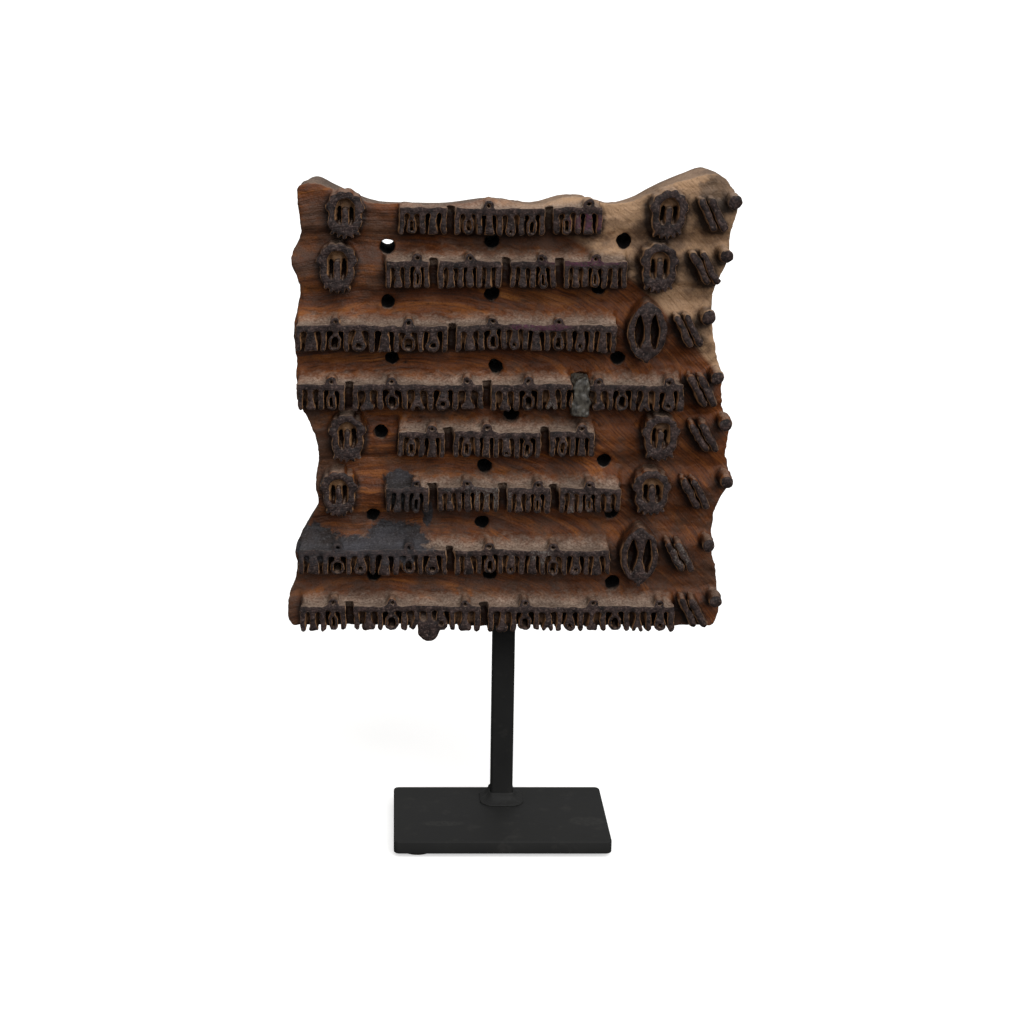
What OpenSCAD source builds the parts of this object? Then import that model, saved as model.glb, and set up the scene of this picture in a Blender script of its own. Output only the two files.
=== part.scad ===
// Wooden textile printing block on a square-bar display stand.
// The block is carved in one piece: eight rows of hanging ornament, bud rosettes, leaves and
// slanted bars stand proud of a scooped ground that is drilled through with vent holes.
// +Z is up, the printing face looks along -Y, and the origin is on the floor under the middle.

/* [Block] */
// Width of the block between its outermost points
block_w = 189; // [170:1:230]
// Height of the block between its outermost points
block_h = 191; // [175:1:230]
// Thickness of the wood behind the relief
ground_t = 30; // [26:1:45]
// Height of the relief above the ground
relief_h = 10; // [6:0.5:14]
// Depth of the gouged hollow between two rows
scoop_depth = 2.5; // [1:0.5:4]
// How far the hollow runs in under the rows at its two sides
scoop_under = 1; // [0.5:0.1:1.2]
// Diameter of the vent holes
vent_d = 6; // [4:0.5:7]
// Lean of the hand-drilled vent holes, down towards the face, in degrees
vent_lean = 9; // [0:1:11]

/* [Relief] */
// Height of the lowest rail above the lower edge
lowest_rail = 10; // [10:0.5:14]
// Distance of the highest rail below the top corners
highest_rail_drop = 13.5; // [13.5:0.5:18]
// Height of the rail that a row hangs from
rail_h = 2.5; // [1.5:0.1:4]
// Width of the sloped shoulder that backs a rail from above
shoulder_w = 2.5; // [1.5:0.1:3]
// Length of the pendants below their rail
pendant_drop = 8.5; // [7.5:0.1:9.5]
// Width of a carved stroke
stroke_w = 2.2; // [1.8:0.1:2.6]
// Narrowest groove that the gouge leaves between two strokes
groove_w = 1.2; // [0.8:0.1:1.4]
// Distance between two pendants in a row
pendant_pitch = 10; // [9.5:0.1:14]
// Width of the cut between two lengths of rail
rail_gap = 3.5; // [2.5:0.5:5]
// Depth of the cut in the cells that are not cleared down to the ground
web_depth = 4; // [2:0.5:5]
// Pendants from one ring finial to the next
finial_every = 3; // [2:1:6]
// Lift of the rosettes, leaves and bars above the middle of their row
motif_lift = 2.7; // [1:0.1:3]
// Width of a bud rosette
rosette_w = 16; // [13:0.5:16.5]
// Depth of the hollow around a rosette's tongue
hollow_depth = 3; // [1.5:0.5:5]
// Height of a leaf motif
leaf_h = 25; // [20:1:28]
// Width of a leaf motif
leaf_w = 16; // [13:0.5:18]
// Length of the slanted bars
bar_len = 14; // [10:0.5:15]
// Lean of the slanted bars from upright, in degrees
bar_lean = 28; // [15:1:40]
// Diameter of the knobs along the right edge
knob_d = 5.5; // [4:0.5:7]
// Distance of the knobs in from the right edge
knob_set = 3; // [1:0.5:5]
// Height of the knobs above their row's rail
knob_rise = 2.5; // [0:0.5:4]
// Diameter of the large drop on the lowest row
drop_d = 9; // [7:0.5:11]
// Distance of the large drop to the left of the middle
drop_set = 33.5; // [25:0.5:40]

/* [Repair] */
// Width of the filled break in the mended row
fill_w = 7; // [4:0.5:9]
// Height of the filled break
fill_h = 16; // [12:0.5:17]
// Distance of the filled break from the right side
fill_inset = 65; // [60:1:70]
// Gap between the filler and the wood beside it
fill_gap = 0.1; // [0.05:0.05:0.3]

/* [Stand] */
// Height of the block's lower edge above the floor
block_lift = 106; // [60:1:160]
// Width of the base plate
plate_w = 96; // [80:1:140]
// Depth of the base plate
plate_d = 60; // [55:1:90]
// Thickness of the base plate
plate_t = 6; // [4:0.5:10]
// Corner radius of the base plate
plate_r = 2.5; // [1:0.5:6]
// Side of the square post
post_w = 10; // [9:0.5:14]
// Corner radius of the post
post_r = 1.2; // [0.5:0.1:2]
// Distance from the plate's rear edge to the post
post_set = 8; // [7:0.5:12]
// Distance of the post to the right of the plate's middle
post_shift = 1.5; // [-3:0.5:3]
// Length of post that lies behind the block
post_lap = 139; // [130:1:150]
// Width of the weld bead on the plate and up the post
weld_leg = 5; // [3:0.5:6]
// Thickness of the weld bead at its toes
weld_toe = 0.6; // [0.4:0.1:1]

/* [Fixings] */
// Diameter of the wood screws
screw_d = 4; // [3:0.5:5]
// Depth to which the screws enter the block
screw_bite = 22; // [15:1:24]
// Diameter of the screw heads
screw_head_d = 7.5; // [6:0.5:8.5]
// Height of the screw heads
screw_head_h = 2.8; // [2:0.1:3.5]
// Width of the slot in a screw head
screw_slot_w = 1; // [0.8:0.1:1.4]
// Clearance around the screws
screw_clearance = 0.1; // [0.05:0.05:0.3]
// Height of the lower screw above the block's lower edge
lower_screw_up = 30; // [20:1:40]
// Height of the upper screw above the block's lower edge
upper_screw_up = 120; // [110:1:124]
// Diameter of the felt pads
pad_d = 15; // [10:0.5:18]
// Thickness of the felt pads
pad_t = 2; // [1:0.5:4]
// Distance from the plate's edges to the middle of a pad
pad_inset = 14; // [12:0.5:18]
// The same distance for the pad that sits nearest its corner
near_pad_inset = 10.5; // [10:0.5:14]

/* [Hidden] */
$fn = 48;

// Colours of the wood, the paint and the small pieces
wood_colour = "#6b4630";
filler_colour = "#6f6d5c";
paint_colour = "#262626";
steel_colour = "#8c8a84";
felt_colour = "#3a3633";

// How far a cutting shape runs past the face that it cuts
cut_over = 1;
// How much wider a stroke's round end is than the stroke
end_swell = 1.04;

// Levels and places of the stand
plate_top = pad_t + plate_t;
post_y = plate_d / 2 - post_set - post_w / 2;
back_y = post_y - post_w / 2;

// Printing face, and the level to which relief and filler are rooted, out from the block's back
face_h = ground_t + relief_h;
root_h = ground_t - scoop_depth - cut_over;

// Stretch of the hand-set lists below, which were laid out on a block of this width and height
laid_w = 189;
laid_h = 191;
stretch_w = block_w / laid_w;
stretch_h = block_h / laid_h;

// Rails from the lowest row to the highest: even steps, and each row's hand-set wander
rows = 8;
row_h = rail_h + pendant_drop;
mended_row = 4;
row_step = (block_h - highest_rail_drop - lowest_rail) / (rows - 1);
row_wander = [0, 1, 4.5, 4.5, 0.5, 1.5, 3.5, 1.4];
rail_top = [for (i = [0:rows - 1]) lowest_rail + i * row_step + stretch_h * row_wander[i]];

// Sawn side edges: how far each side lies in from the full width at a row's foot and at its rail
left_inset = [
    [2, 1], [5, 5], [14, 13], [15, 11.5], [7, 6], [5, 5], [8, 4], [8, 7.5]
];
right_inset = [
    [4.5, 2.5], [4.5, 6.5], [5, 0], [2, 1.5], [5, 6], [8.5, 10.5], [9.5, 4.5], [4.5, 2]
];
// Top edge from left to right: share of the half width, and drop below the corners
top_edge = [
    [-0.92, 5.5], [-0.87, 3.5], [-0.8, 4.8], [-0.7, 8.2], [-0.59, 11], [-0.43, 11.7], [-0.27, 11.7],
    [-0.08, 9.6], [0.1, 11.6], [0.26, 8.2], [0.43, 11.7], [0.53, 10.2], [0.64, 5.6], [0.75, 2],
    [0.85, 0], [0.91, 0.5], [0.95, 5]
];
// Lower edge from right to left: share of the half width, and drop below the lowest feet
lower_edge = [
    [0.88, 0.7], [0.75, 1], [0.4, 0.6], [0, 1], [-0.4, 0.6], [-0.75, 0.8], [-0.92, 0.6]
];
edge_steps = 4;

// The four row layouts, from the lowest row up: margin left, margin right, breaks from the start
layouts = [
    [7, 23, [21, 78]],
    [6.5, 51, [64]],
    [43, 47.5, [20, 49, 71]],
    [48.5, 58.5, [21, 61]]
];
// Which pendants a layout repeats: 0 ring, 1 bud, 2 fork, 3 tassel, 4 berries
pendant_order = [[4, 0, 2, 1], [3, 0, 1], [2, 0, 4], [0, 3, 1]];
// Distance from the left side to the bud rosettes, and from the right side to each right motif
rosette_left = [0, 0, 23.5, 27];
rosette_right = [0, 0, 34.5, 31.5];
leaf_right = [0, 38.5, 0, 0];
bars_right = [15, 21.5, 16, 13.5];

// Vent holes: valley above that row, distance from the middle, and lift from the valley's middle
vents = [
    [0, -56.5, 3], [0, -6.5, 3.5], [0, 46, -1],
    [1, -57, 3.5], [1, -10.5, 0], [1, 45, 5],
    [2, -9.5, -1], [2, 41, 2], [3, -53.5, -7.5], [3, 1.5, 0],
    [4, -48.5, 2], [4, -5.5, -2.5], [4, 45.5, 1.5],
    [5, -50.5, 0], [5, -7.5, 3], [5, 36.5, 5.5],
    [6, -50.5, -0.7], [6, -8, 0.8], [6, 46.5, 0.8]
];
// The one vent that was drilled square to the face
square_vent = 16;

// Point on a smooth curve between the two middle points of four
function curve_point(a, b, c, d, t) =
    0.5 * (2 * b + (c - a) * t + (2 * a - 5 * b + 4 * c - d) * t ^ 2
        + (3 * b - a - 3 * c + d) * t ^ 3);

// Closed smooth curve through a list of points
function closed_curve(p, steps) =
    let (n = len(p))
    [for (i = [0:n - 1], s = [0:steps - 1])
        curve_point(p[(i + n - 1) % n], p[i], p[(i + 1) % n], p[(i + 2) % n], s / steps)];

// Corner points of the block's outline, clockwise from the lower left
function edge_points() = concat(
    [for (i = [0:rows - 1], k = [0, 1])
        [-block_w / 2 + stretch_w * left_inset[i][k], rail_top[i] - (k == 0 ? row_h : 0)]],
    [for (t = top_edge) [t[0] * block_w / 2, block_h - stretch_h * t[1]]],
    [for (i = [rows - 1:-1:0], k = [1, 0])
        [block_w / 2 - stretch_w * right_inset[i][k], rail_top[i] - (k == 0 ? row_h : 0)]],
    [for (t = lower_edge) [t[0] * block_w / 2, rail_top[0] - row_h - stretch_h * t[1]]]
);

// Middle and height of the valley above a row
function valley_mid(i) = (rail_top[i] + rail_top[i + 1] - row_h) / 2;
function valley_h(i) = rail_top[i + 1] - row_h - rail_top[i];

// Radius of an arc from its chord and its depth
function arc_radius(chord, depth) = (chord ^ 2 / 4 + depth ^ 2) / (2 * depth);

// Ends of the rail lengths in a layout, from its margins and its breaks
function rail_ends(layout) =
    let (
        start = -block_w / 2 + stretch_w * layout[0],
        end = block_w / 2 - stretch_w * layout[1],
        cuts = [for (b = layout[2]) start + stretch_w * b],
        from = concat([start], [for (c = cuts) c + rail_gap / 2]),
        to = concat([for (c = cuts) c - rail_gap / 2], [end])
    )
    [for (k = [0:len(from) - 1]) [from[k], to[k]]];

// Block's own axes: right and up on its face, and out from its back
module on_block() {
    translate([0, back_y, block_lift]) rotate([90, 0, 0]) children();
}

// Flat rounded rectangle about its middle
module rounded_rect(w, d, r) {
    square([w, d - 2 * r], center = true);
    square([w - 2 * r, d], center = true);
    for (x = [-1, 1], y = [-1, 1]) translate([x * (w / 2 - r), y * (d / 2 - r)]) circle(r);
}

// Upright stroke with a round foot, hung from the underside of a rail
module picket() {
    foot = pendant_drop - stroke_w / 2;
    translate([-stroke_w / 2, -foot]) square([stroke_w, foot + rail_h / 2]);
    translate([0, -foot]) circle(d = stroke_w * end_swell);
}

// Short neck that joins a pendant to its rail
module neck(length) {
    translate([-stroke_w / 2, -length]) square([stroke_w, length + rail_h / 2]);
}

// Upright oval with flat sides, from its lowest point up
module upright_oval(w, h) {
    translate([0, w / 2]) circle(d = w);
    translate([0, h - w / 2]) circle(d = w);
    translate([-w / end_swell / 2, w / 2]) square([w / end_swell, h - w]);
}

// Long ring on a neck
module ring_pendant(w) {
    wall = stroke_w * 0.5;
    ring_h = pendant_drop * 0.82;
    neck(pendant_drop - ring_h + wall / 2);
    translate([0, -pendant_drop]) difference() {
        upright_oval(w, ring_h);
        translate([0, wall]) upright_oval(w - 2 * wall, ring_h - 2 * wall);
    }
}

// Drop that widens from the rail to a pierced ball
module bud_pendant(w) {
    r = w / 2;
    difference() {
        union() {
            translate([0, r - pendant_drop]) circle(r);
            polygon([[-r * 0.97, r - pendant_drop], [r * 0.97, r - pendant_drop],
                [stroke_w * 0.4, rail_h / 2], [-stroke_w * 0.4, rail_h / 2]]);
        }
        translate([0, r - pendant_drop]) circle(r * 0.42);
    }
}

// Neck that forks into two slanted prongs with round feet
module fork_pendant(w) {
    r = stroke_w * 0.4;
    crotch = pendant_drop * 0.35;
    reach = w / 2 - r;
    fall = pendant_drop - crotch - r;
    prong = norm([reach, fall]);
    neck(crotch + r);
    translate([0, -crotch]) for (side = [-1, 1]) rotate(side * atan2(reach, fall)) {
        translate([-r, -prong]) square([2 * r, prong]);
        translate([0, -prong]) circle(r * end_swell);
    }
}

// Tassel that spreads to a foot parted by two slits
module tassel_pendant(w) {
    foot = w / 2;
    top = stroke_w * 0.45;
    slit_w = groove_w * 0.6;
    slit_h = pendant_drop * 0.6;
    difference() {
        polygon([[-foot, -pendant_drop], [foot, -pendant_drop], [top, rail_h / 2], [-top, rail_h / 2]]);
        for (side = [-1, 1]) translate([side * w / 5 - slit_w / 2, -pendant_drop - slit_w])
            square([slit_w, slit_h]);
    }
}

// Three round berries on a neck
module berry_pendant(w) {
    r = w * 0.28;
    neck(pendant_drop - 2 * r);
    for (side = [-1, 1]) translate([side * (w / 2 - r), r - pendant_drop]) circle(r);
    translate([0, 2.4 * r - pendant_drop]) circle(r);
}

module pendant(kind, w) {
    if (kind == 0) ring_pendant(w);
    if (kind == 1) bud_pendant(w);
    if (kind == 2) fork_pendant(w);
    if (kind == 3) tassel_pendant(w);
    if (kind == 4) berry_pendant(w);
}

// Ring that stands on top of a rail
module finial() {
    translate([0, rail_h + stroke_w * 0.5]) difference() {
        circle(stroke_w);
        circle(stroke_w * 0.42);
    }
}

// Number of cells between the pickets of a rail length, and the width of one
function cell_count(length) = max(1, round(length / pendant_pitch));
function cell_width(length) = (length - stroke_w) / cell_count(length);

// One length of rail with its pickets, pendants and finials, hung from its upper left corner
module rail_length(length, order) {
    cells = cell_count(length);
    cell = cell_width(length);
    translate([0, -rail_h]) {
        square([length, rail_h]);
        for (k = [0:cells]) translate([stroke_w / 2 + k * cell, 0]) picket();
        for (k = [0:cells - 1]) translate([stroke_w / 2 + (k + 0.5) * cell, 0]) {
            pendant(order[k % len(order)], cell - stroke_w - 2 * groove_w);
            if (k % finial_every == 1) finial();
        }
    }
}

// Webs that close every other cell of a rail length, down to a share of its drop
module rail_webs(length) {
    cell = cell_width(length);
    web_drop = pendant_drop * 0.7;
    for (k = [0:2:cell_count(length) - 1])
        translate([stroke_w / 2 + k * cell, -rail_h - web_drop])
            square([cell, web_drop + rail_h / 2]);
}

// Opening bud: a scalloped oval over a fringed foot, pierced on both sides of its tongue
module rosette() {
    r = rosette_w * 0.42;
    upper = r * 0.3;
    slot_h = r;
    difference() {
        union() {
            for (lift = [-upper, upper]) translate([0, lift]) circle(r);
            translate([0, upper]) for (a = [-80:32:80]) rotate(a)
                translate([0, r * 0.9]) circle(r * 0.32);
            for (a = [-32:16:32]) rotate(a) translate([-stroke_w * 0.3, -r * 1.5])
                square([stroke_w * 0.6, r]);
        }
        for (side = [-1, 1]) translate([side * r * 0.38, -slot_h / 2])
            upright_oval(r * 0.24, slot_h);
    }
}

// Hollow of an opening bud, around the tongue that stands in its middle
module rosette_hollow() {
    r = rosette_w * 0.42;
    difference() {
        translate([0, -r * 0.75]) upright_oval(r * 1.2, r * 1.75);
        translate([0, -r * 0.85]) upright_oval(r * 0.42, r * 1.3);
    }
}

// Places its children at the rosettes of a row
module at_rosettes(i) {
    k = i % len(layouts);
    left = -block_w / 2 + stretch_w * rosette_left[k];
    right = block_w / 2 - stretch_w * rosette_right[k];
    if (rosette_left[k] > 0) translate([left, rail_top[i] - row_h / 2 + motif_lift]) children();
    if (rosette_right[k] > 0) translate([right, rail_top[i] - row_h / 2 + motif_lift]) children();
}

// Pointed oval from two arcs
module pointed_oval(w, h) {
    r = arc_radius(h, w / 2);
    intersection() {
        translate([r - w / 2, 0]) circle(r, $fn = 96);
        translate([w / 2 - r, 0]) circle(r, $fn = 96);
    }
}

// Leaf with a middle rib between two slots, and a short stalk
module leaf() {
    difference() {
        pointed_oval(leaf_w, leaf_h);
        for (side = [-1, 1]) translate([side * leaf_w * 0.2, 0]) {
            pointed_oval(leaf_w * 0.25, leaf_h * 0.62);
        }
    }
    translate([-stroke_w / 2, -leaf_h * 0.5 - stroke_w * 0.3]) square([stroke_w, leaf_h * 0.2]);
}

// Pair of slanted bars about their middle
module slanted_bars() {
    for (side = [-1, 1]) translate([side * stroke_w * 0.95, 0]) rotate(bar_lean) {
        square([stroke_w, bar_len - stroke_w], center = true);
        for (end = [-1, 1]) translate([0, end * (bar_len - stroke_w) / 2])
            circle(d = stroke_w * end_swell);
    }
}

// One whole row with its layout's motifs, at its rail's height
module relief_row(i) {
    k = i % len(layouts);
    mid = motif_lift - row_h / 2;
    at_rosettes(i) rosette();
    translate([0, rail_top[i]]) {
        for (ends = rail_ends(layouts[k])) translate([ends[0], 0]) {
            rail_length(ends[1] - ends[0], pendant_order[k]);
        }
        if (leaf_right[k] > 0) translate([block_w / 2 - stretch_w * leaf_right[k], mid]) leaf();
        translate([block_w / 2 - stretch_w * bars_right[k], mid]) slanted_bars();
        translate([block_w / 2 - stretch_w * right_inset[i][1] - knob_set, knob_rise])
            circle(d = knob_d);
    }
}

// The whole printing surface, seen from the front
module relief() {
    for (i = [0:rows - 1]) relief_row(i);
    translate([-drop_set, rail_top[0] - row_h]) circle(d = drop_d);
}

// Slope that backs a rail, in two cuts: up from the rail's upper edge, and out from its root
module shoulder_profile() {
    top = face_h - root_h - groove_w;
    polygon([
        [-rail_h / 2, 0], [shoulder_w, 0], [shoulder_w * 0.4, top * 0.45],
        [-rail_h / 8, top], [-rail_h / 2, top]
    ]);
}

// Shoulders along every rail of a row, a little shorter than the rails
module row_shoulders(i) {
    for (ends = rail_ends(layouts[i % len(layouts)]))
        translate([ends[0] + groove_w, rail_top[i], root_h]) rotate([90, 0, 90])
            linear_extrude(ends[1] - ends[0] - 2 * groove_w) shoulder_profile();
}

// The webs of a whole row
module row_webs(i) {
    for (ends = rail_ends(layouts[i % len(layouts)]))
        translate([ends[0], rail_top[i]]) rail_webs(ends[1] - ends[0]);
}

// Broken stretch of the mended row that the filler takes up, widened all round by a gap
module break_shape(gap) {
    translate([block_w / 2 - fill_inset, rail_top[mended_row] - row_h / 2]) {
        rounded_rect(fill_w + 2 * gap, fill_h + 2 * gap, fill_w / 4);
    }
}

// Drill for one vent: it meets the ground at its place in the valley and rises to the back
module vent_hole(v, lean) {
    translate([stretch_w * v[1], valley_mid(v[0]) + stretch_h * v[2], ground_t]) rotate([lean, 0, 0])
        translate([0, 0, -2 * ground_t]) cylinder(d = vent_d, h = 2 * ground_t + 2 * relief_h);
}

module carved_block() {
    color(wood_colour) on_block() difference() {
        union() {
            difference() {
                linear_extrude(ground_t) polygon(closed_curve(edge_points(), edge_steps));
                for (i = [0:rows - 2]) {
                    r = arc_radius(valley_h(i) + 2 * scoop_under, scoop_depth);
                    translate([-block_w, valley_mid(i), ground_t + r - scoop_depth])
                        rotate([0, 90, 0]) cylinder(r = r, h = 2 * block_w, $fn = 96);
                }
            }
            translate([0, 0, root_h]) linear_extrude(face_h - root_h) relief();
            translate([0, 0, root_h]) linear_extrude(face_h - root_h - web_depth)
                for (i = [0:rows - 1]) row_webs(i);
            for (i = [0:rows - 2]) row_shoulders(i);
        }
        translate([0, 0, face_h - hollow_depth]) linear_extrude(relief_h)
            for (i = [0:rows - 1]) at_rosettes(i) rosette_hollow();
        for (k = [0:len(vents) - 1]) vent_hole(vents[k], k == square_vent ? 0 : vent_lean);
        for (up = [lower_screw_up, upper_screw_up]) translate([post_shift, up, -cut_over])
            cylinder(d = screw_d + 2 * screw_clearance, h = screw_bite + 2 * cut_over);
        translate([0, 0, root_h]) linear_extrude(face_h) break_shape(fill_gap);
    }
}

module repair_fill() {
    color(filler_colour) on_block() translate([0, 0, root_h])
        linear_extrude(face_h - root_h) break_shape(0);
}

module stand_post() {
    color(paint_colour) difference() {
        translate([post_shift, post_y, plate_top])
            linear_extrude(block_lift + post_lap - plate_top) rounded_rect(post_w, post_w, post_r);
        on_block() for (up = [lower_screw_up, upper_screw_up])
            translate([post_shift, up, -post_w - cut_over])
                cylinder(d = screw_d + 2 * screw_clearance, h = post_w + 2 * cut_over);
    }
}

// Hollow profile of the weld bead, from the post's face outwards
module weld_profile() {
    difference() {
        square(weld_leg);
        translate([weld_leg + weld_toe, weld_leg + weld_toe]) circle(weld_leg, $fn = 96);
    }
}

module post_weld() {
    flat = post_w - 2 * post_r;
    color(paint_colour) translate([post_shift, post_y, plate_top]) for (a = [0:90:270]) rotate(a) {
        translate([post_w / 2, flat / 2, 0]) rotate([90, 0, 0])
            linear_extrude(flat) weld_profile();
        translate([flat / 2, flat / 2, 0]) rotate_extrude(angle = 90, $fn = 96)
            translate([post_r, 0]) weld_profile();
    }
}

module base_plate() {
    color(paint_colour) translate([0, 0, pad_t])
        linear_extrude(plate_t) rounded_rect(plate_w, plate_d, plate_r);
}

// Slotted wood screw that enters the block through the post, at a height on the block
module back_screw(up) {
    head_r = arc_radius(screw_head_d, screw_head_h);
    color(steel_colour) on_block() translate([post_shift, up, -post_w]) difference() {
        union() {
            cylinder(d = screw_d, h = post_w + screw_bite);
            intersection() {
                translate([0, 0, head_r - screw_head_h]) sphere(head_r, $fn = 96);
                translate([0, 0, -screw_head_h]) cylinder(d = screw_head_d, h = screw_head_h);
            }
        }
        translate([-screw_head_d / 2, -screw_slot_w / 2, -screw_head_h - cut_over])
            cube([screw_head_d, screw_slot_w, screw_head_h / 2 + cut_over]);
    }
}

module upper_screw() {
    back_screw(upper_screw_up);
}

module lower_screw() {
    back_screw(lower_screw_up);
}

// Felt pad under one corner of the plate: side of X, side of Y, and distance from the edges
module felt_pad(side_x, side_y, inset) {
    color(felt_colour)
        translate([side_x * (plate_w / 2 - inset), side_y * (plate_d / 2 - inset), 0])
            cylinder(d = pad_d, h = pad_t);
}

module pad_front_left() {
    felt_pad(-1, -1, near_pad_inset);
}

module pad_front_right() {
    felt_pad(1, -1, pad_inset);
}

module pad_rear_left() {
    felt_pad(-1, 1, pad_inset);
}

module pad_rear_right() {
    felt_pad(1, 1, pad_inset);
}

carved_block();
repair_fill();
stand_post();
post_weld();
base_plate();
upper_screw();
lower_screw();
pad_front_left();
pad_front_right();
pad_rear_left();
pad_rear_right();
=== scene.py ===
import math
import bmesh
import bpy
import numpy as np
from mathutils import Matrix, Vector


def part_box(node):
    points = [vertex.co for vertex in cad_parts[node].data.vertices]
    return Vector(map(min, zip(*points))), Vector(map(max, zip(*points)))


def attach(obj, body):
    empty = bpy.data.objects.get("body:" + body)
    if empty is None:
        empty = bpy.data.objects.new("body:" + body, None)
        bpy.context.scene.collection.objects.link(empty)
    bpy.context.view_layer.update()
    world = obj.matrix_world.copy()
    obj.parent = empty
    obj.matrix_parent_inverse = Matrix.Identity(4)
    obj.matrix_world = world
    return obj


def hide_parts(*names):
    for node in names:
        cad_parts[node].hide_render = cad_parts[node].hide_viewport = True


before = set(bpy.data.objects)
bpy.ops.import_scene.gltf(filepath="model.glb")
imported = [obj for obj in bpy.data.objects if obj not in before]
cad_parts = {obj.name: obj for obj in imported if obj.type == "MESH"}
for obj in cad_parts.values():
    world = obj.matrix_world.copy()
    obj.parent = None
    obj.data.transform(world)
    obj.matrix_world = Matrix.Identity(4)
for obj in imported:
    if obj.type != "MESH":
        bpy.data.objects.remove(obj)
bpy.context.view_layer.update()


# Base plate: a piece of 6 mm mild-steel flat with ground corners, sprayed satin black.
# It lies on four felt pads and carries the post near its rear edge.
MM = 0.001


def alone(piece):
    """Makes a piece the only selected object, and the active one."""
    bpy.ops.object.select_all(action="DESELECT")
    piece.select_set(True)
    bpy.context.view_layer.objects.active = piece


def work_on(piece, kind, wanted, work):
    """Selects the edges or faces of a piece that pass a test, and works on them in edit mode."""
    alone(piece)
    bpy.ops.object.mode_set(mode="EDIT")
    bpy.ops.mesh.select_mode(type=kind)
    bpy.ops.mesh.select_all(action="DESELECT")
    mesh = bmesh.from_edit_mesh(piece.data)
    for part in mesh.edges if kind == "EDGE" else mesh.faces:
        part.select_set(wanted(part))
    bmesh.update_edit_mesh(piece.data)
    work()
    bpy.ops.object.mode_set(mode="OBJECT")


def block_of(name, low, high):
    """Adds a cube stretched between two corners, with its place in its mesh."""
    bpy.ops.object.select_all(action="DESELECT")
    bpy.ops.mesh.primitive_cube_add(size=1, location=(low + high) / 2)
    piece = bpy.context.object
    piece.name = piece.data.name = name
    piece.scale = high - low
    bpy.ops.object.transform_apply(location=True, rotation=False, scale=True)
    return piece


def upright(edge):
    """True for an edge that runs straight up."""
    run = edge.verts[1].co - edge.verts[0].co
    return abs(run.z) > 0.99 * run.length


def rim(edge):
    """True for an edge between a level face and an upright one."""
    levels = [abs(face.normal.z) > 0.9 for face in edge.link_faces]
    return any(levels) and not all(levels)


def hand_over(piece, slot, *nodes):
    """Lets a finished piece ride with the object in place of its plain solids."""
    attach(piece, "root")
    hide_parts(*nodes)


plate_corner, plate_edge = 2.5 * MM, 0.7 * MM
plate = block_of("painted_plate", *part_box("base_plate"))
work_on(plate, "EDGE", upright, lambda: bpy.ops.mesh.bevel(offset=plate_corner, segments=6))
work_on(plate, "EDGE", rim, lambda: bpy.ops.mesh.bevel(offset=plate_edge, segments=3))
alone(plate)
bpy.ops.object.shade_smooth_by_angle(angle=math.radians(40))


def colour(code):
    """Linear colour with full alpha from an sRGB hex value."""
    parts = [int(code[i:i + 2], 16) / 255 for i in (1, 3, 5)]
    return [c / 12.92 if c <= 0.04045 else ((c + 0.055) / 1.055) ** 2.4 for c in parts] + [1]


def put(tree, kind, *feeds, out=None, **settings):
    """Adds a shader node, sets it, and feeds its sockets in order with links or values."""
    made = tree.nodes.new("ShaderNode" + kind)
    for name, value in settings.items():
        setattr(made, name, value)
    for socket, feed in zip([s for s in made.inputs if s.enabled], feeds):
        if isinstance(feed, bpy.types.NodeSocket):
            tree.links.new(feed, socket)
        elif feed is not None:
            socket.default_value = feed
    return made.outputs[out] if out else next(s for s in made.outputs if s.enabled)


def new_finish(name):
    """A new material, its node tree, its shader's sockets, and object coordinates in millimetres."""
    finish = bpy.data.materials.new(name)
    finish.use_nodes = True
    tree = finish.node_tree
    place = put(tree, "TexCoord", out="Object")
    place = put(tree, "VectorMath", place, (1 / MM, 1 / MM, 1 / MM), operation="MULTIPLY")
    return finish, tree, tree.nodes["Principled BSDF"].inputs, place


def blot(tree, place, middle, half, ragged):
    """Mask of a blot with a ragged edge: its middle and half sizes in mm, 0 for an endless side."""
    off = put(tree, "VectorMath", place, middle, operation="SUBTRACT")
    off = put(tree, "VectorMath", off, [1 / h if h else 0 for h in half], operation="MULTIPLY")
    off = put(tree, "VectorMath", off, operation="LENGTH", out="Value")
    off = put(tree, "Math", ragged, 1.2, off, operation="MULTIPLY_ADD")
    return put(tree, "MapRange", off, 1.6, 1.4, 0, 1)


# Satin black paint on steel: nearly black, a little uneven where the spray lay thick or thin,
# with a fine orange-peel skin and dull pale rubs where hands and boxes have touched it.
paint, tree, shader, place = new_finish("satin_black_paint_on_steel")
spray_cloud, orange_peel, peel_height, rubbed = 22, 1.4, 0.15 * MM, 9
cloud = put(tree, "TexNoise", place, 1 / spray_cloud, 3, 0.6)
fine = put(tree, "TexNoise", place, 1 / orange_peel, 3, 0.6)
rub = put(tree, "TexNoise", place, 1 / rubbed, 4, 0.65)
tone = put(tree, "Mix", cloud, colour("#222222"), colour("#30302f"), data_type="RGBA")
tone = put(tree, "Mix", put(tree, "MapRange", rub, 0.57, 0.74, 0, 0.3), tone, colour("#454340"),
           data_type="RGBA")
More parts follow.
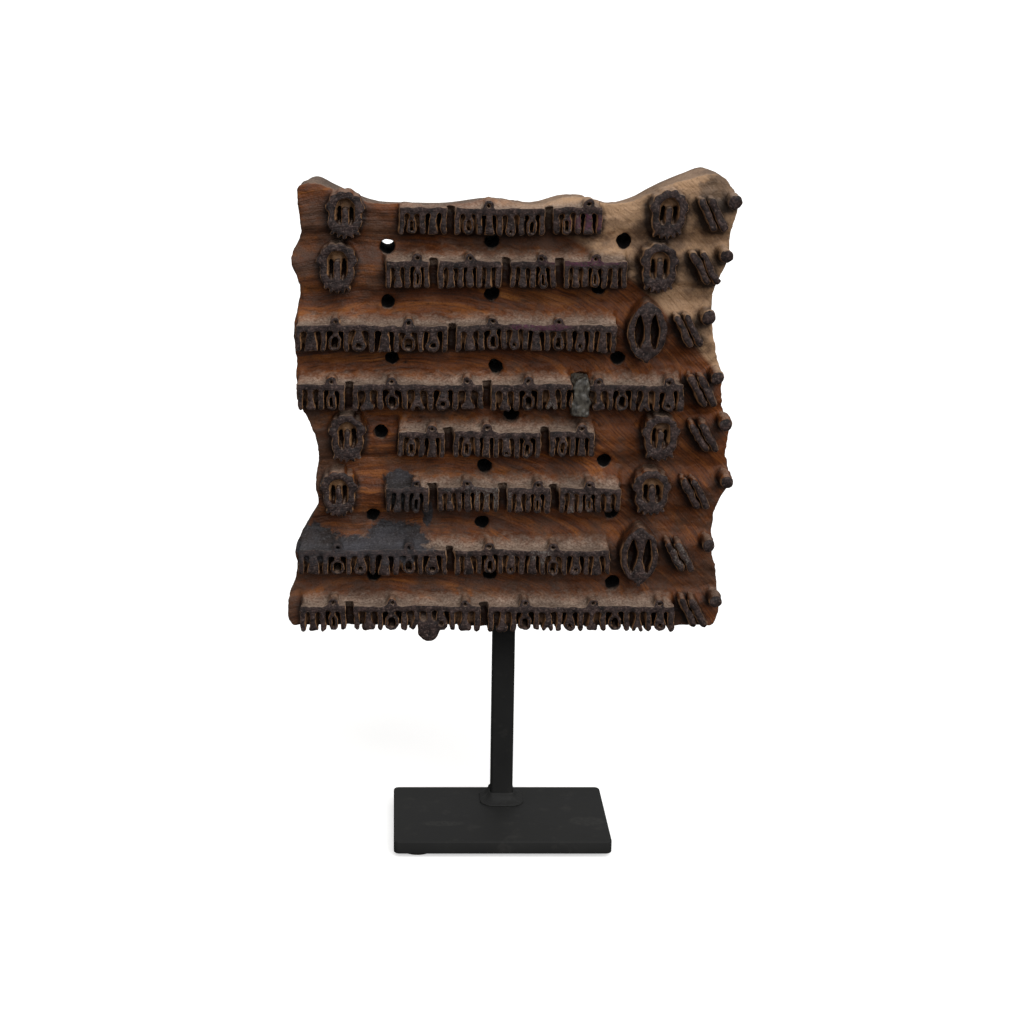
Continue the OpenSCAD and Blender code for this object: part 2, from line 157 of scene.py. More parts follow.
# Two dusty wipes on top of the plate, one thin and one broad.
wipes = put(tree, "Math", blot(tree, place, (-26, -11, 0), (11, 2.6, 0), rub),
            blot(tree, place, (39, -9, 0), (9, 5, 0), rub), operation="MAXIMUM")
wipes = put(tree, "Math", wipes, put(tree, "MapRange", fine, 0.35, 0.65, 0.02, 0.25),
            operation="MULTIPLY")
tone = put(tree, "Mix", wipes, tone, colour("#4c4b47"), data_type="RGBA")
tree.links.new(tone, shader["Base Color"])
tree.links.new(put(tree, "MapRange", cloud, 0.3, 0.7, 0.5, 0.65), shader["Roughness"])
shader["Specular IOR Level"].default_value = 0.08
tree.links.new(put(tree, "Bump", 0.25, peel_height, None, fine), shader["Normal"])
plate.data.materials.append(paint)
hand_over(plate, "stand_paint", "base_plate")


# Felt pads: four discs punched from dark pressed felt, glued under the plate's corners.
# The one at the front left sits nearer its corner and shows under the plate's edge.
pad_edge = 0.5 * MM
# Pressed wool felt: short fibres lie every way, so it is mottled, soft and free of gloss.
felt, tree, shader, place = new_finish("pressed_felt")
wool_fibre, nap = 0.9, 0.3 * MM
mottle = put(tree, "TexNoise", place, 1 / wool_fibre, 4, 0.7)
tree.links.new(put(tree, "Mix", mottle, colour("#1d1a18"), colour("#4a443f"), data_type="RGBA"),
               shader["Base Color"])
shader["Roughness"].default_value = 0.95
shader["Sheen Weight"].default_value = 0.3
tree.links.new(put(tree, "Bump", 0.6, nap, None, mottle), shader["Normal"])
for corner in ("front_left", "front_right", "rear_left", "rear_right"):
    low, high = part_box("pad_" + corner)
    bpy.ops.object.select_all(action="DESELECT")
    bpy.ops.mesh.primitive_cylinder_add(vertices=64, radius=(high.x - low.x) / 2,
                                        depth=high.z - low.z, location=(low + high) / 2)
    pad = bpy.context.object
    pad.name = pad.data.name = "felt_" + corner
    bpy.ops.object.transform_apply(location=True, rotation=False, scale=True)
    work_on(pad, "EDGE", rim, lambda: bpy.ops.mesh.bevel(offset=pad_edge, segments=3))
    alone(pad)
    bpy.ops.object.shade_smooth_by_angle(angle=math.radians(50))
    pad.data.materials.append(felt)
    hand_over(pad, "foot_felt", "pad_" + corner)


# Post: a length of 10 mm square bar with rolled corners, painted with the plate.
# It stands on the plate and is drilled through twice for the screws that hold the block.
post_corner, post_end, hole_radius, drill_length = 1.2 * MM, 0.4 * MM, 2.1 * MM, 20 * MM
screws = ("lower_screw", "upper_screw")
low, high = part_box("stand_post")
post = block_of("painted_post", low, high)
work_on(post, "EDGE", upright, lambda: bpy.ops.mesh.bevel(offset=post_corner, segments=4))
work_on(post, "EDGE", rim, lambda: bpy.ops.mesh.bevel(offset=post_end, segments=2))
for screw in screws:
    first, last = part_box(screw)
    middle = Vector(((first.x + last.x) / 2, (low.y + high.y) / 2, (first.z + last.z) / 2))
    bpy.ops.object.select_all(action="DESELECT")
    bpy.ops.mesh.primitive_cylinder_add(vertices=32, radius=hole_radius, depth=drill_length,
                                        location=middle, rotation=(math.pi / 2, 0, 0))
    drill = bpy.context.object
    alone(post)
    hole = post.modifiers.new("hole", "BOOLEAN")
    hole.object, hole.operation = drill, "DIFFERENCE"
    bpy.ops.object.modifier_apply(modifier=hole.name)
    bpy.data.objects.remove(drill)
alone(post)
bpy.ops.object.shade_smooth_by_angle(angle=math.radians(40))
post.data.materials.append(paint)
hand_over(post, "stand_paint", "stand_post")


# Weld bead: the fillet that joins the post to the plate all round, left as it was laid
# and painted over, so it is lumpy and runs out unevenly on the plate.
def copy_of(node, name):
    """A merged copy of a plain solid, free of its frame marks and materials."""
    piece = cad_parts[node].copy()
    piece.data = piece.data.copy()
    piece.name = piece.data.name = name
    bpy.context.scene.collection.objects.link(piece)
    piece.parent = None
    for tag in list(piece.keys()):
        del piece[tag]
    piece.data.materials.clear()
    work_on(piece, "FACE", lambda face: True, lambda: bpy.ops.mesh.remove_doubles(threshold=1e-6))
    return piece


def shape(piece, kind, **settings):
    """Adds a modifier to a piece, sets it and applies it."""
    alone(piece)
    change = piece.modifiers.new(kind.lower(), kind)
    for name, value in settings.items():
        setattr(change, name, value)
    bpy.ops.object.modifier_apply(modifier=change.name)


def lumps(name, size):
    """Cloudy noise for a displacement, with lumps of a given size."""
    noise = bpy.data.textures.new(name, "CLOUDS")
    noise.noise_scale, noise.noise_depth = size, 2
    return noise


weld_voxel, weld_lump, weld_rise = 0.4 * MM, 3 * MM, 0.7 * MM
weld = copy_of("post_weld", "weld_bead")
shape(weld, "REMESH", mode="VOXEL", voxel_size=weld_voxel)
shape(weld, "SMOOTH", factor=0.5, iterations=6)
shape(weld, "DISPLACE", texture=lumps("weld_lumps", weld_lump), texture_coords="LOCAL",
      strength=weld_rise, mid_level=0.45)
shape(weld, "SMOOTH", factor=0.5, iterations=2)
bpy.ops.object.shade_smooth()
weld.data.materials.append(paint)
hand_over(weld, "stand_paint", "post_weld")


# Printing block: one thick hardwood board, sawn to a wavy outline. The ground was gouged out
# between the rows, the relief was left standing, and vents were drilled through for air and dye.
def places(piece):
    """The places of a piece's vertices, in millimetres."""
    flat = np.empty(len(piece.data.vertices) * 3)
    piece.data.vertices.foreach_get("co", flat)
    return flat.reshape(-1, 3) / MM


def weigh(piece, name, share):
    """Adds a vertex group with a share from 0 to 1 for each vertex, in tenths."""
    group = piece.vertex_groups.new(name=name)
    for step in range(1, 11):
        group.add(np.nonzero(np.round(share * 10) == step)[0].tolist(), step / 10, "REPLACE")


def mark(piece, name, value):
    """Keeps a value for each vertex of a piece, for its material to read."""
    piece.data.attributes.new(name, "FLOAT", "POINT").data.foreach_set("value", value)


low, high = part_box("carved_block")
face, relief, back = low.y / MM, 10, high.y / MM
ground = face + relief
voxel = 0.42
cell, margin = 1.2 * voxel, 24
corner = np.array([low.x, low.z]) / MM - margin * cell
cells = (np.array([high.x - low.x, high.z - low.z]) / MM / cell).astype(int) + 2 * margin


def spots(where):
    """The cells that given places fall in, on a chart laid over the carved side."""
    return tuple(((where[:, [0, 2]] - corner) / cell).astype(int).T)


def around(chart, reach, axis, pick):
    """The largest or smallest value of a chart within a reach along one axis, in millimetres."""
    steps = round(reach / cell)
    return pick.reduce([np.roll(chart, step, axis) for step in range(-steps, steps + 1)])


def blurred(chart, reach):
    """A chart with each value averaged over a reach along both axes, in millimetres."""
    steps = round(reach / cell)
    for axis in (0, 1):
        chart = np.mean([np.roll(chart, step, axis) for step in range(-steps, steps + 1)], axis=0)
    return chart


block = copy_of("carved_block", "carved_wood")
shape(block, "REMESH", mode="VOXEL", voxel_size=voxel * MM)
# The first finial of the top row stood in the dip of the top edge, and the saw took it off.
where = places(block)
finial, finial_half, finial_root, sawn_off = -32, 5, 8, 284.6
proud = (np.abs(where[:, 0] - finial) < finial_half) & (where[:, 1] < ground + finial_root)
where[proud, 2] = np.minimum(where[proud, 2], sawn_off)
# Above the rails, the unbroken stretches of the face, the gouge ran out in a hollow slope, up to
# just short of the face.
face_skin, half_rail, shoulder_blur = 1.5, 7.5, 0.8
struck = np.zeros(cells, bool)
struck[spots(where[where[:, 1] < face + face_skin])] = True
rails = around(around(struck, half_rail, 0, np.minimum), half_rail, 0, np.maximum)
run, since = np.zeros(cells), np.full(cells[0], np.inf)
for row in range(cells[1]):
    since = np.where(rails[:, row], 0, since + cell)
    run[:, row] = since
slope, scoop, bridged = 7, 3, 3
run = np.minimum(run, slope)
shoulder = around(around(1 - run / slope, bridged, 0, np.maximum), bridged, 0, np.minimum)
shoulder = blurred(shoulder, shoulder_blur)
rise = slope - np.sqrt(slope ** 2 - (slope - run) ** 2) - scoop * run / slope
rise[struck] = -scoop
rise = around(around(rise, bridged, 0, np.maximum), bridged, 0, np.minimum)
rise = blurred(around(rise, cell, 1, np.maximum), cell)[spots(where)]
hollow = where[:, 1] < ground + scoop
where[hollow, 1] = np.minimum(where[:, 1], ground - rise)[hollow]
block.data.vertices.foreach_set("co", (where * MM).ravel())
shape(block, "REMESH", mode="VOXEL", voxel_size=voxel * MM)
# The carved side is worked and worn all over, but the drilled vents keep their rims and the sawn
# back, against the post, stays flat.
where = places(block)
mark(block, "shoulder", shoulder[spots(where)])
deep = where[:, 1]
vent_from, vent_to, vent_rim = 3.3, 6, 1.2
vents = np.zeros(cells, bool)
vents[spots(where[(deep > ground + vent_from) & (deep < ground + vent_to)])] = True
vents = around(around(vents, vent_rim, 0, np.maximum), vent_rim, 1, np.maximum)[spots(where)]
flat_back, worked_in, above, below = 4, 14, 2, 10
weigh(block, "carved", np.clip((back - flat_back - deep) / worked_in, 0, 1))
weigh(block, "ground", np.clip((deep - ground + above) / 1.5, 0, 1)
      * np.clip((ground + below - deep) / 4, 0, 1) * ~vents)
# The pairs of slanted bars at the right are the boldest strokes, and are filled out.
half_bar, bar_margin, bar_reach, bars_from, fuller = 1.8, 1, 1.5, 66, 0.4 * MM
stout = around(around(struck, half_bar, 0, np.minimum), half_bar + bar_margin, 0, np.maximum)
bars = struck & ~around(stout, bar_margin, 1, np.maximum)
bars = around(around(bars, bar_reach, 0, np.maximum), bar_reach, 1, np.maximum)[spots(where)]
weigh(block, "bars", bars * np.clip((where[:, 0] - bars_from) / 6, 0, 1) * (deep < ground - 1))
shape(block, "DISPLACE", strength=fuller, mid_level=0, vertex_group="bars")
# The gouge leaves no ledge in the ground, and years of printing have rounded the relief.
spread, wear = 3, 0.6
shape(block, "SMOOTH", factor=0.5, iterations=round((spread / voxel) ** 2), vertex_group="ground")
shape(block, "SMOOTH", factor=0.5, iterations=round((wear / voxel) ** 2) + 1, vertex_group="carved")
# Long shallow gouge cuts run along the valleys.
gouge_width, gouge_run, gouge_depth = 4 * MM, 6, 1.6 * MM
gouge = bpy.data.objects.new("gouge", None)
gouge.scale.x = gouge_run
bpy.context.scene.collection.objects.link(gouge)
shape(block, "DISPLACE", texture=lumps("gouge_cuts", gouge_width), texture_coords="OBJECT",
      texture_coords_object=gouge, direction="Y", strength=gouge_depth, mid_level=0.5,
      vertex_group="ground")
bpy.data.objects.remove(gouge)
# The hand wanders, slowly along the rows and from stroke to stroke: along which axis, over what
# length and by how much, in millimetres.
for axis, size, strength in (("X", 16, 1.8), ("Z", 22, 2), ("X", 4.5, 1.2), ("Z", 4.5, 1.3),
                             ("Y", 8, 1.6), ("NORMAL", 2.4, 0.5)):
    shape(block, "DISPLACE", texture=lumps("hand", size * MM), texture_coords="LOCAL",
          direction=axis, strength=strength * MM, mid_level=0.5, vertex_group="carved")
shape(block, "SMOOTH", factor=0.5, iterations=1, vertex_group="carved")
# The saw leaned inwards, so the edges fall away towards the back, but not at the corners.
where = places(block)
centre = [0, 0, (low.z + high.z) / 2 / MM]
lean, inner, outer, corner_from = 3, 74, 84, 54
sunk = np.clip((where[:, 1] - ground) / (back - ground), 0, 1)
off = where - centre
reach = np.sign(off) * np.clip((np.abs(off) - inner) / (outer - inner), 0, 1)
reach[:, 2] *= np.clip((outer - np.abs(off[:, 0])) / (outer - corner_from), 0, 1)
reach[:, 1] = 0
where -= lean * sunk[:, None] * reach
block.data.vertices.foreach_set("co", (where * MM).ravel())
block.data.update()
# Old dye and painted shade gather under and beside the relief: a blurred chart of its height,
# let down a little so that the shade falls below it, says how far in its shelter each point lies.
# What lies deeper than the ground and clear of the outline is the wall of a vent, painted black as
# shade.
lowest_ground, drip, full_shelter, clear, vent_mouth = 3, 1.5, 8, 4, 3.2
height = np.zeros(cells)
np.maximum.at(height, spots(where), np.maximum(ground + lowest_ground - where[:, 1], 0))
seen = height > 0
first, last = seen.argmax(0), cells[0] - 1 - seen[::-1].argmax(0)
lowest, highest = seen.argmax(1), cells[1] - 1 - seen[:, ::-1].argmax(1)
height = np.roll(blurred(blurred(height, drip), drip), -round(drip / cell), 1)
most = 190000
block.data.calc_loop_triangles()
shape(block, "DECIMATE", ratio=min(1, most / len(block.data.loop_triangles)))
bpy.ops.object.shade_smooth_by_angle(angle=math.radians(45))
where = places(block)
across, along = spots(where)
shelter = np.clip(height[across, along] / full_shelter, 0, 1)
inside = np.min([across - first[along], last[along] - across,
                 along - lowest[across], highest[across] - along], axis=0) * cell
# Painted shade: these vent walls are marked to be painted black.
vent_shade = (inside > clear) & (where[:, 1] > ground + vent_mouth) & (where[:, 1] < back - 1)
mark(block, "shelter", shelter)
mark(block, "vent_shade", vent_shade.astype(float))


def patches(tree, place, ragged, *spread):
    """Mask of several blots on the carved side: each one's middle and half sizes, across and up."""
    mask = 0
    for across, up, half_across, half_up in spread:
        one = blot(tree, place, (across, 0, up), (half_across, 0, half_up), ragged)
        mask = put(tree, "Math", mask, one, operation="MAXIMUM")
    return mask


# Sheesham, gouged and rubbed smooth by hands and cloth: red-brown heartwood with soft growth lines
# that arch over the face, pale sapwood at the upper right, and printing faces dark with old dye.
wood, tree, shader, place = new_finish("sheesham_dark_with_dye")
x, y, z = put(tree, "SeparateXYZ", place).node.outputs
lie = put(tree, "SeparateXYZ", put(tree, "TexCoord", out="Normal")).node.outputs
front = put(tree, "Math", lie["Y"], -1, operation="MULTIPLY")
cloud_size, speck_size, grit_size = 17, 3.5, 0.9
mottle = put(tree, "TexNoise", place, 1 / cloud_size, 4, 0.6)
speck = put(tree, "TexNoise", place, 1 / speck_size, 4, 0.65)
grit = put(tree, "TexNoise", place, 1 / grit_size, 3, 0.6)
# Growth lines: nearly level at the left, falling away and fainter to the right of the crown.
crown_from, wander_size, ring_width, fibre_length, fibre_depth, fibre_width = 35, 55, 5, 26, 5, 1.3
wander = put(tree, "TexNoise", place, 1 / wander_size, 2, 0.5)
crown = put(tree, "Math", x, crown_from, operation="ADD")
right = put(tree, "Math", crown, 0, operation="MAXIMUM")
left = put(tree, "Math", crown, 0, operation="MINIMUM")
arch = put(tree, "Math", right, right, operation="MULTIPLY")
arch = put(tree, "Math", arch, 0.005, z, operation="MULTIPLY_ADD")
sweep = put(tree, "Math", left, left, operation="MULTIPLY")
arch = put(tree, "Math", sweep, 0.0012, arch, operation="MULTIPLY_ADD")
arch = put(tree, "Math", wander, 14, arch, operation="MULTIPLY_ADD")
ring = put(tree, "Math", y, -0.4, arch, operation="MULTIPLY_ADD")
growth = put(tree, "TexNoise", ring, 1 / ring_width, 4, 0.6, noise_dimensions="1D")
fibre = put(tree, "CombineXYZ", put(tree, "Math", x, 1 / fibre_length, operation="MULTIPLY"),
            put(tree, "Math", y, 1 / fibre_depth, operation="MULTIPLY"),
            put(tree, "Math", ring, 1 / fibre_width, operation="MULTIPLY"))
fibre = put(tree, "TexNoise", fibre, 1, 4, 0.65)
grain = put(tree, "Mix", 0.5, growth, fibre)
grain = put(tree, "Mix", put(tree, "MapRange", x, -10, 35, 0.1, 0.3), grain, 0.5)
heart = put(tree, "ValToRGB", grain)
ramp = heart.node.color_ramp
ramp.elements[0].position, ramp.elements[0].color = 0.34, colour("#3f2012")
ramp.elements[1].position, ramp.elements[1].color = 0.66, colour("#9a5c28")
ramp.elements.new(0.5).color = colour("#6c3b1c")
# Two stretches of the ground are more golden than the rest.
golden = patches(tree, place, mottle, (-66, 224, 30, 5), (18, 250, 28, 7))
golden = put(tree, "Math", golden, put(tree, "MapRange", grain, 0.42, 0.6, 0, 0.5),
             operation="MULTIPLY")
heart = put(tree, "Mix", golden, heart, colour("#a0682f"), data_type="RGBA")
sap = put(tree, "Mix", grain, colour("#a07d5f"), colour("#c7a27e"), data_type="RGBA")
sap_line = 296
sapwood = put(tree, "MapRange", arch, sap_line - 1.5, sap_line + 1.5, 0, 1)
sapwood = put(tree, "Math", sapwood, put(tree, "MapRange", x, -15, 15, 0, 1), operation="MULTIPLY")
tone = put(tree, "Mix", sapwood, heart, sap, data_type="RGBA")
# Pores: short dark dashes along the fibre, drawn somewhat coarser than real so that they show.
pore_length, pore_depth, pore_width = 7, 2, 0.7
pore = put(tree, "CombineXYZ", put(tree, "Math", x, 1 / pore_length, operation="MULTIPLY"),
           put(tree, "Math", y, 1 / pore_depth, operation="MULTIPLY"),
           put(tree, "Math", ring, 1 / pore_width, operation="MULTIPLY"))
pore = put(tree, "TexNoise", pore, 1, 2, 0.5)
pore = put(tree, "MapRange", pore, 0.54, 0.7, 0, 0.6)
pore = put(tree, "Math", pore, put(tree, "MapRange", sapwood, 0, 1, 1, 0.4),
           operation="MULTIPLY")
pore = put(tree, "Math", pore, put(tree, "MapRange", grit, 0.58, 0.7, 0, 0.45),
           operation="MAXIMUM")
tone = put(tree, "Mix", pore, tone, colour("#24120b"), data_type="RGBA")
# Hand dirt in broad clouds, with painted shade that darkens the lower rows; and on the carved
# side old dye, with painted shade, in the corners at the foot of the relief.
dirt = put(tree, "Math", speck, 0.5, mottle, operation="MULTIPLY_ADD")
grubby_and_shade = patches(tree, place, mottle, (-74, 266, 36, 24), (-85, 182, 16, 22), (60, 272, 14, 9),
                 (8, 270, 40, 6))
grubby_and_shade = put(tree, "Math", grubby_and_shade, 0.2, dirt, operation="MULTIPLY_ADD")
# Painted shade: darker towards the lower rows, where less light falls.
grubby_and_shade = put(tree, "Math", put(tree, "MapRange", z, 190, 130, 0, 0.14), grubby_and_shade, operation="ADD")
tone = put(tree, "Mix", put(tree, "MapRange", grubby_and_shade, 0.72, 0.98, 0, 0.75), tone,
           colour("#4b382d"), data_type="RGBA")
carved = put(tree, "MapRange", y, ground + 4, ground + 7, 1, 0)
shelter = put(tree, "Attribute", out="Fac", attribute_name="shelter")
# Painted shade with old dye: darker at the foot of the relief and just below it.
dye_and_shade = put(tree, "Math", dirt, 0.6, shelter, operation="MULTIPLY_ADD")
dye_and_shade = put(tree, "Math", sapwood, 0.1, dye_and_shade, operation="MULTIPLY_ADD")
dye_and_shade = put(tree, "MapRange", dye_and_shade, 0.85, 1.3, 0, 0.9)
dye_and_shade = put(tree, "Math", dye_and_shade, carved, operation="MULTIPLY")
tone = put(tree, "Mix", dye_and_shade, tone, colour("#20140f"), data_type="RGBA")
# Cut walls of the relief: bare tan wood near the printing face, with painted shade darkening them
# towards the root.
wall = put(tree, "Math", speck, 3, y, operation="MULTIPLY_ADD")
wall = put(tree, "MapRange", wall, ground - 4.5, ground - 7, 0, 1)
wall = put(tree, "Mix", wall, colour("#26170f"), colour("#a67d58"), data_type="RGBA")
raised = put(tree, "MapRange", y, ground - 1, ground - 3, 0, 1)
raised = put(tree, "Math", raised, put(tree, "MapRange", lie["Z"], 0.2, 0.5, 1, 0),
             operation="MULTIPLY")
tone = put(tree, "Mix", raised, tone, wall, data_type="RGBA")
# Sawn edges and back of the board, greyed by handling, with the marks of a coarse saw.
side = put(tree, "MapRange", front, 0.2, 0.6, 1, 0)
sawn = put(tree, "MapRange", y, ground + 0.5, ground + 3.5, 0, 1)
sawn = put(tree, "Math", sawn, side, operation="MULTIPLY")
cut = put(tree, "Math", x, 0.13, z, operation="MULTIPLY_ADD")
cut = put(tree, "Math", mottle, 5, cut, operation="MULTIPLY_ADD")
tooth = 3.4
cut = put(tree, "Math", put(tree, "Math", cut, 2 * math.pi / tooth, operation="MULTIPLY"),
          operation="SINE")
cut = put(tree, "Math", cut, 0.12, speck, operation="MULTIPLY_ADD")
grey = put(tree, "Mix", put(tree, "MapRange", cut, 0.25, 0.75, 0, 1), colour("#342a25"),
           colour("#5f4f45"), data_type="RGBA")
greyed = put(tree, "Math", sawn, put(tree, "MapRange", sapwood, 0, 1, 1, 0.35),
             operation="MULTIPLY")
tone = put(tree, "Mix", greyed, tone, grey, data_type="RGBA")
# The upper right corner is stained darker.
corner_stain = patches(tree, place, speck, (86, 290, 10, 9))
tone = put(tree, "Mix", put(tree, "Math", corner_stain, 0.6, operation="MULTIPLY"), tone,
           colour("#4a4039"), data_type="RGBA")
# House dust: even on the slopes above the rails, fading up the valley, and thin on whatever else
# faces up.
shoulder = put(tree, "Attribute", out="Fac", attribute_name="shoulder")
shoulder = put(tree, "Math", put(tree, "MapRange", speck, 0.3, 0.7, -0.22, 0.22), shoulder,
               operation="ADD")
shoulder = put(tree, "Math", shoulder, carved, operation="MULTIPLY")
dust = put(tree, "Math", put(tree, "MapRange", shoulder, 0.45, 1.05, 0, 0.72),
           put(tree, "MapRange", lie["Z"], 0.75, 0.95, 0, 0.4), operation="MAXIMUM")
dust = put(tree, "Math", dust, put(tree, "MapRange", dirt, 0.65, 1, 1, 0.45), operation="MULTIPLY")
grime = put(tree, "Mix", put(tree, "MapRange", grit, 0.35, 0.65, 0, 1), colour("#866e5e"),
            colour("#cbb29e"), data_type="RGBA")
tone = put(tree, "Mix", dust, tone, grime, data_type="RGBA")
# Printing faces: purple-brown crust of dye, thin on the corners where cloth has rubbed it.
ink = put(tree, "Mix", put(tree, "MapRange", speck, 0.36, 0.64, 0, 1), colour("#140d0d"),
          colour("#4a3935"), data_type="RGBA")
ink = put(tree, "Mix", put(tree, "MapRange", grit, 0.45, 0.6, 0, 0.7), ink, colour("#1c1414"),
          data_type="RGBA")
ink = put(tree, "Mix", put(tree, "MapRange", grit, 0.42, 0.34, 0, 0.6), ink, colour("#6e5c55"),
          data_type="RGBA")
level = put(tree, "Math", speck, 1.6, y, operation="MULTIPLY_ADD")
printed = put(tree, "MapRange", level, face + 2.8, face + 1.6, 0, 1)
printed = put(tree, "Math", printed, put(tree, "MapRange", front, 0.35, 0.7, 0, 1),
              operation="MULTIPLY")
# The last dye to be printed, a magenta, is left on the ends of the three upper rows.
magenta = put(tree, "MapRange", grit, 0.4, 0.65, 0, 0.6)
ends = patches(tree, place, speck, (31, 279, 9, 3.5), (29, 263, 17, 1.8), (12, 236.5, 14, 1.8))
ink = put(tree, "Mix", put(tree, "Math", ends, magenta, operation="MULTIPLY"), ink,
          colour("#66344c"), data_type="RGBA")
# Painted highlights: a few strokes carry pale glints where they would shine.
glint_fleck = put(tree, "MapRange", grit, 0.48, 0.6, 0, 0.4)
painted_glints = patches(tree, place, speck, (-7, 164, 9, 5), (14.5, 139, 5, 5), (74, 140, 4, 6),
                 (18, 200, 4, 5), (29, 158, 6, 4))
ink = put(tree, "Mix", put(tree, "Math", painted_glints, glint_fleck, operation="MULTIPLY"), ink,
          colour("#948a82"), data_type="RGBA")
tone = put(tree, "Mix", printed, tone, ink, data_type="RGBA")
# Slate-grey colour was spilt over the second row from the bottom, and ran down from the third.
spill = patches(tree, place, speck, (-82, 142, 13, 8), (-47, 143, 15, 9), (-61, 141, 30, 4),
                (-33.5, 154, 2.5, 7), (-46, 170, 7, 3.4), (-43, 163, 9, 7))
film_and_sheen = put(tree, "Math", put(tree, "MapRange", grit, 0.3, 0.7, -0.12, 0.12), mottle,
           operation="ADD")
# Painted sheen: the spill turns paler towards the rail below it.
film_and_sheen = put(tree, "Math", put(tree, "MapRange", z, 146, 136, 0, 0.25), film_and_sheen, operation="ADD")
slate = put(tree, "Mix", put(tree, "MapRange", film_and_sheen, 0.35, 0.85, 0, 1), colour("#1b1b1b"),
            colour("#4d4d53"), data_type="RGBA")
slate = put(tree, "Mix", put(tree, "MapRange", grit, 0.62, 0.7, 0, 0.4), slate, colour("#77736d"),
            data_type="RGBA")
spill = put(tree, "Math", spill, put(tree, "MapRange", printed, 0, 1, 0.94, 0.3),
            operation="MULTIPLY")
spill = put(tree, "Math", spill, carved, operation="MULTIPLY")
tone = put(tree, "Mix", spill, tone, slate, data_type="RGBA")
# The vents are painted black inside: painted shade in the deep bores.
vent_shade = put(tree, "Attribute", out="Fac", attribute_name="vent_shade")
tone = put(tree, "Mix", vent_shade, tone, colour("#0b0706"), data_type="RGBA")
tree.links.new(tone, shader["Base Color"])
# Rubbed wood has a low sheen, dusty and sawn wood next to none, and part of the sixth row shines.
gloss = put(tree, "MapRange", fibre, 0.35, 0.65, 0.42, 0.6)
gloss = put(tree, "Mix", put(tree, "Math", dust, sawn, operation="MAXIMUM"), gloss, 0.9)
wax = patches(tree, place, speck, (-17, 165, 11, 6))
gloss = put(tree, "Mix", put(tree, "Math", wax, printed, operation="MULTIPLY"), gloss, 0.2)
tree.links.new(gloss, shader["Roughness"])
shader["Specular IOR Level"].default_value = 0.25
tool_marks = 0.6 * MM
rough = put(tree, "Math", grit, 0.65, fibre, operation="MULTIPLY_ADD")
rough = put(tree, "Math", speck, 1.4, rough, operation="MULTIPLY_ADD")
rough = put(tree, "Math", put(tree, "Math", cut, sawn, operation="MULTIPLY"), 0.8, rough,
            operation="MULTIPLY_ADD")
tree.links.new(put(tree, "Bump", 0.8, tool_marks, None, rough), shader["Normal"])
block.data.materials.append(wood)
hand_over(block, "block_wood", "carved_block")


# Repair: a lump of grey-green filler pressed into a broken stretch of the fourth row and left
# proud, with the thumb marks it set with.
fill_voxel = 0.4 * MM
fill = copy_of("repair_fill", "filler_lump")
shape(fill, "REMESH", mode="VOXEL", voxel_size=fill_voxel)
shape(fill, "SMOOTH", factor=0.5, iterations=30)
for axis, size, strength in (("X", 6, 5), ("Z", 5, 4), ("Y", 4, 2.2), ("NORMAL", 1.8, 0.9)):
    shape(fill, "DISPLACE", texture=lumps("thumb_marks", size * MM), texture_coords="LOCAL",
          direction=axis, strength=strength * MM, mid_level=0.5)
shape(fill, "SMOOTH", factor=0.5, iterations=2)
bpy.ops.object.shade_smooth()
# Set filler: dull, slightly translucent grey, drawn down in darker and paler streaks.
filler, tree, shader, place = new_finish("set_filler")
streak_width, streak_height = 1.6, 0.3 * MM
streak = put(tree, "VectorMath", place, (1, 1, 0.3), operation="MULTIPLY")
streak = put(tree, "TexNoise", streak, 1 / streak_width, 4, 0.6)
tone = put(tree, "Mix", put(tree, "MapRange", streak, 0.35, 0.65, 0, 1), colour("#1e1a15"),
           colour("#57524a"), data_type="RGBA")
tree.links.new(tone, shader["Base Color"])
tree.links.new(put(tree, "MapRange", streak, 0.35, 0.65, 0.6, 0.3), shader["Roughness"])
shader["Subsurface Weight"].default_value = 0.1
shader["Subsurface Radius"].default_value = (2 * MM, 2 * MM, 1 * MM)
tree.links.new(put(tree, "Bump", 0.5, streak_height, None, streak), shader["Normal"])
fill.data.materials.append(filler)
hand_over(fill, "repair_filler", "repair_fill")


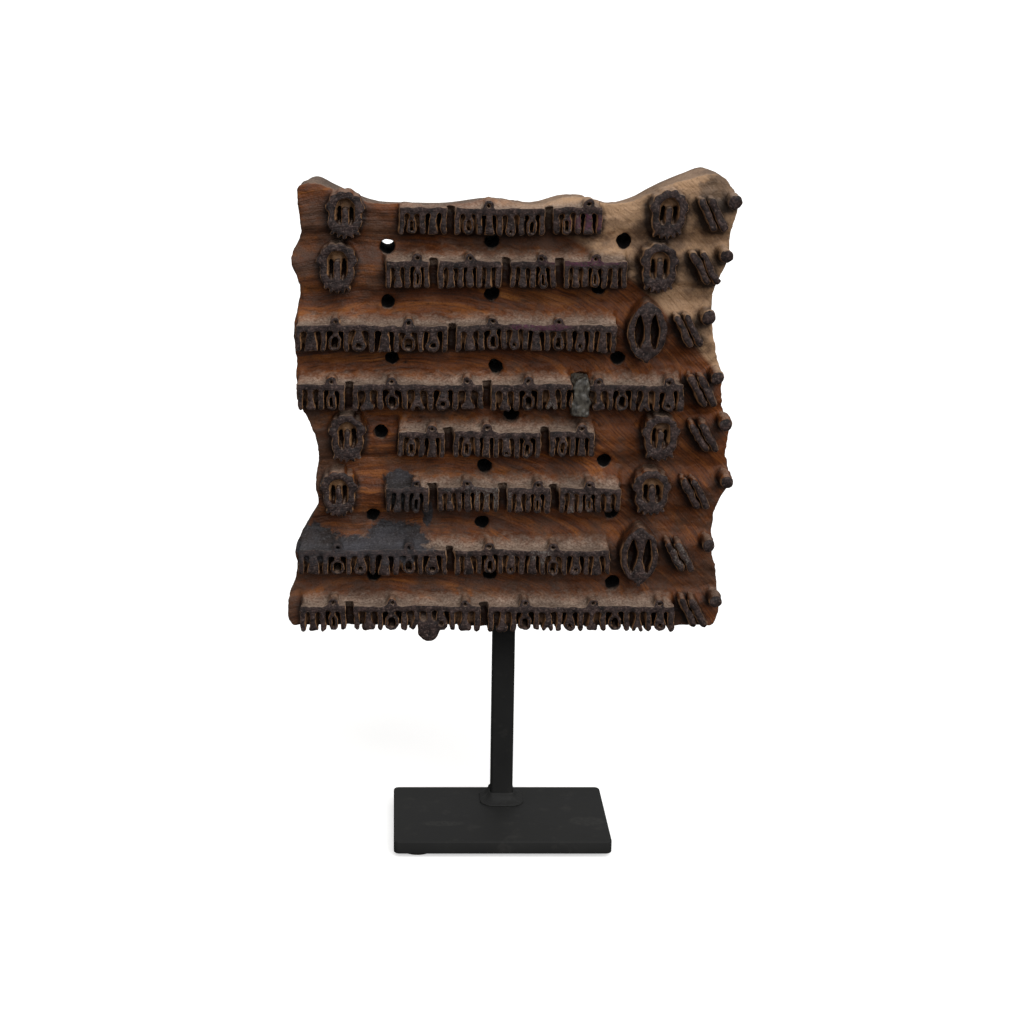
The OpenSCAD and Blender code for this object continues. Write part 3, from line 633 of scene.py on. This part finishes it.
# Screws: two slotted dome-head wood screws, driven through the post into the block's back.
# Their turned shape is complete in the solids, so they only take their finish here.
# Zinc-plated steel gone dull: grey and cloudy, with an uneven, soft gloss.
steel, tree, shader, place = new_finish("dulled_zinc_on_steel")
zinc_cloud = 1.6
cloud = put(tree, "TexNoise", place, 1 / zinc_cloud, 4, 0.6)
tree.links.new(put(tree, "Mix", cloud, colour("#6d6861"), colour("#a8a59d"), data_type="RGBA"),
               shader["Base Color"])
shader["Metallic"].default_value = 1
tree.links.new(put(tree, "MapRange", cloud, 0.3, 0.7, 0.35, 0.55), shader["Roughness"])
for screw in screws:
    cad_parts[screw].data.materials.clear()
    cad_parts[screw].data.materials.append(steel)


# Stage: a pale floor that sweeps away to the horizon, soft light from above and a camera
# that looks down a little from in front, as the photograph does.
floor_width = 1000
bpy.ops.object.select_all(action="DESELECT")
bpy.ops.mesh.primitive_plane_add(size=floor_width, location=(0, 0, 0))
floor = bpy.context.object
floor.name = floor.data.name = "studio_floor"
# Matt white board: pale and without gloss, lit a little from within so that it stays clean.
matt, tree, shader, place = new_finish("matt_white_board")
shader["Base Color"].default_value = colour("#f4f3f1")
shader["Roughness"].default_value = 0.9
shader["Emission Color"].default_value = (1, 1, 1, 1)
shader["Emission Strength"].default_value = 0.5
floor.data.materials.append(matt)
floor.visible_diffuse = False
floor.visible_glossy = False

sun = bpy.data.lights.new("big_softbox", "SUN")
sun.energy, sun.angle = 2.2, math.radians(55)
lamp = bpy.data.objects.new("big_softbox", sun)
lamp.rotation_euler = Vector((-0.25, 0.72, -0.65)).to_track_quat("-Z", "Y").to_euler()
bpy.context.scene.collection.objects.link(lamp)
world = bpy.data.worlds.new("studio_air")
world.use_nodes = True
tree = world.node_tree
sky = put(tree, "SeparateXYZ", put(tree, "TexCoord", out="Generated"), out="Z")
sky = put(tree, "MapRange", sky, -0.2, 0.6, 0.12, 0.5)
air = tree.nodes["Background"].inputs
tree.links.new(sky, air["Strength"])
air["Color"].default_value = (1, 1, 1, 1)
bpy.context.scene.world = world
bpy.context.scene.view_settings.view_transform = "Standard"

eye = bpy.data.cameras.new("studio_camera")
eye.lens, eye.sensor_width = 70.3, 36
eye.clip_end, eye.shift_x = 2 * floor_width, 0.114
camera = bpy.data.objects.new("studio_camera", eye)
camera.location = (-0.0473, -0.8356, 0.3854)
look_down = 15.74
camera.rotation_euler = (math.radians(90 - look_down), 0, 0)
bpy.context.scene.collection.objects.link(camera)
bpy.context.scene.camera = camera
